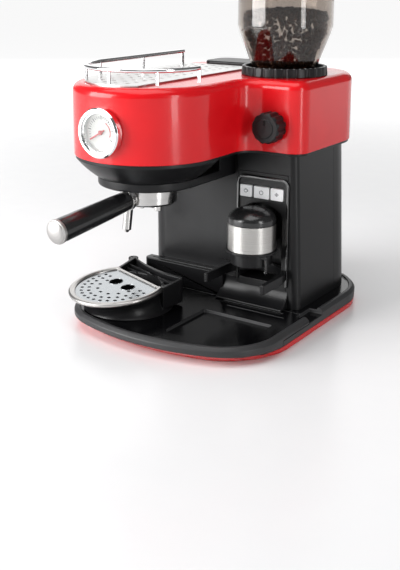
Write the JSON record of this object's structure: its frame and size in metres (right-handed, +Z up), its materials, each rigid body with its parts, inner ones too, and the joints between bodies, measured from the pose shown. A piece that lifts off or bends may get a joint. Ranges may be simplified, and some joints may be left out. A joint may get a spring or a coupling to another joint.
{
  "type": "espresso machine",
  "caption": "Worktop espresso machine with a built-in grinder, a swing-out drip tray, a filter holder with a straight handle, a steam wand, a bean hopper and a lift-out water tank.",
  "frame": {"origin": "on the worktop, under the middle of the base", "axes": "+X to the machine's right as its user's view from the front has it, +Y to its back, +Z up"},
  "size_m": [0.28, 0.4266, 0.417],
  "materials": {
    "red_gloss": "deep gloss lacquer",
    "black_satin": "fine satin moulding",
    "black_gloss": "polished moulding",
    "steel_brushed": "brushed round the part",
    "chrome": "polished plating",
    "button_white": "smooth moulding with grey icons",
    "rubber_black": "matt",
    "smoke_clear": "smoked transparent plastic",
    "water_clear": "clear transparent plastic",
    "gauge_glass": "clear",
    "dial_face": "printed card",
    "needle_red": "painted",
    "brass": "machined",
    "burr_steel": "ground teeth",
    "aluminium_cast": "cast",
    "tube_white": "silicone",
    "board_green": "coated board"
  },
  "bodies": {
    "machine": {"base_skirt": "red_gloss", "rubber_feet": "rubber_black", "case_screws": "steel_brushed", "base_frame": "black_satin", "ledge_rail": "black_satin", "tower_front_shell": "black_satin", "tower_rear_cover": "black_satin", "column_panel": "black_satin", "control_bezel": "black_gloss", "portafilter_fork": "black_satin", "chute_sleeve": "steel_brushed", "grounds_chute": "black_satin", "head_underside": "black_satin", "brew_ring": "black_satin", "group_head": "aluminium_cast", "group_gasket": "rubber_black", "shower_screen": "steel_brushed", "upper_housing": "red_gloss", "gauge_bezel": "chrome", "gauge_dial": "dial_face", "gauge_glass": "gauge_glass", "cup_warmer_plate": "steel_brushed", "cup_rail": "chrome", "grinder_casing": "aluminium_cast", "upper_burr": "burr_steel", "grinder_motor": "aluminium_cast", "boiler": "brass", "pump": "black_satin", "water_tubes": "tube_white", "control_board": "board_green", "power_inlet": "black_satin", "steam_valve": "brass", "chute_cap": "black_satin"},
    "front_tray": {"front_tray": "black_satin", "tray_hinge_pin": "steel_brushed"},
    "drip_tray": {"drip_bowl": "black_satin", "drip_ring": "steel_brushed"},
    "drip_plate": {"drip_plate": "steel_brushed"},
    "button_cup": {"button_cup": "button_white"},
    "button_power": {"button_power": "button_white"},
    "button_steam": {"button_steam": "button_white"},
    "grind_switch": {"grind_switch_lever": "chrome"},
    "portafilter": {"portafilter_body": "chrome", "filter_basket": "steel_brushed", "twin_spout": "chrome", "handle_grip": "black_gloss", "handle_end_cap": "chrome"},
    "steam_wand": {"steam_pipe": "chrome", "steam_sleeve": "steel_brushed"},
    "steam_knob": {"steam_knob": "black_satin"},
    "valve_needle": {"valve_needle": "brass"},
    "gauge_needle": {"gauge_needle": "needle_red"},
    "grind_dial": {"grind_dial": "black_satin"},
    "hopper": {"bean_hopper": "smoke_clear"},
    "hopper_lid": {"hopper_lid": "black_satin"},
    "water_tank": {"water_tank": "water_clear", "tank_outlet": "rubber_black"},
    "tank_lid": {"tank_lid": "black_satin"},
    "burr_drive": {"motor_shaft": "steel_brushed", "lower_burr": "burr_steel"}
  },
  "joints": [
    {"name": "front_tray_slide", "type": "slide", "parent": "machine", "child": "front_tray", "axis": [0, -1, 0], "range_m": [0, 0.15]},
    {"name": "drip_tray_swing", "type": "hinge", "parent": "front_tray", "child": "drip_tray", "pos_m": [-0.1272, -0.013, 0.03], "axis": [0, 0, 1], "range_deg": [0, 19.6]},
    {"name": "drip_plate_lift", "type": "slide", "parent": "drip_tray", "child": "drip_plate", "axis": [-0.0351, -0.0985, 0.9945], "range_m": [0, 0.05]},
    {"name": "button_cup_press", "type": "slide", "parent": "machine", "child": "button_cup", "axis": [0, 1, 0], "range_m": [0, 0.0015], "stiffness_N_per_m": 400},
    {"name": "button_power_press", "type": "slide", "parent": "machine", "child": "button_power", "axis": [0, 1, 0], "range_m": [0, 0.0015], "stiffness_N_per_m": 400},
    {"name": "button_steam_press", "type": "slide", "parent": "machine", "child": "button_steam", "axis": [0, 1, 0], "range_m": [0, 0.0015], "stiffness_N_per_m": 400},
    {"name": "grind_switch_press", "type": "hinge", "parent": "machine", "child": "grind_switch", "pos_m": [0.087, -0.031, 0.0891], "axis": [1, 0, 0], "range_deg": [0, 12], "stiffness_Nm_per_rad": 0.02},
    {"name": "portafilter_turn", "type": "hinge", "parent": "machine", "child": "portafilter", "pos_m": [-0.0445, -0.086, 0.182], "axis": [0, 0, 1], "range_deg": [-45, 0]},
    {"name": "steam_wand_swing", "type": "hinge", "parent": "machine", "child": "steam_wand", "pos_m": [-0.1095, -0.034, 0.185], "axis": [0, 1, 0], "range_deg": [-4, 30]},
    {"name": "steam_knob_turn", "type": "hinge", "parent": "machine", "child": "steam_knob", "pos_m": [0.08, -0.008, 0.246], "axis": [0, -1, 0], "range_deg": [0, 270]},
    {"name": "valve_needle_slide", "type": "slide", "parent": "machine", "child": "valve_needle", "axis": [0, -1, 0], "range_m": [0, 0.0015]},
    {"name": "gauge_needle_turn", "type": "hinge", "parent": "machine", "child": "gauge_needle", "pos_m": [-0.0445, -0.173, 0.25], "axis": [0, 1, 0], "range_deg": [0, 240], "stiffness_Nm_per_rad": 0.001},
    {"name": "grind_dial_turn", "type": "hinge", "parent": "machine", "child": "grind_dial", "pos_m": [0.056, 0.06, 0.305], "axis": [0, 0, 1], "range_deg": [-60, 60]},
    {"name": "hopper_lift", "type": "slide", "parent": "machine", "child": "hopper", "axis": [0, 0, 1], "range_m": [0, 0.12]},
    {"name": "hopper_lid_lift", "type": "slide", "parent": "hopper", "child": "hopper_lid", "axis": [0, 0, 1], "range_m": [0, 0.06]},
    {"name": "water_tank_lift", "type": "slide", "parent": "machine", "child": "water_tank", "axis": [0, 0, 1], "range_m": [0, 0.2]},
    {"name": "tank_lid_open", "type": "hinge", "parent": "water_tank", "child": "tank_lid", "pos_m": [-0.042, 0.161, 0.3004], "axis": [-1, 0, 0], "range_deg": [0, 90]},
    {"name": "burr_spin", "type": "hinge", "parent": "machine", "child": "burr_drive", "pos_m": [0.056, 0.06, 0.18], "axis": [0, 0, 1], "continuous": true}
  ],
  "couplings": [
    {"joint": "valve_needle_slide", "follows": "steam_knob_turn", "m_per_rad": 0.000318}
  ]
}
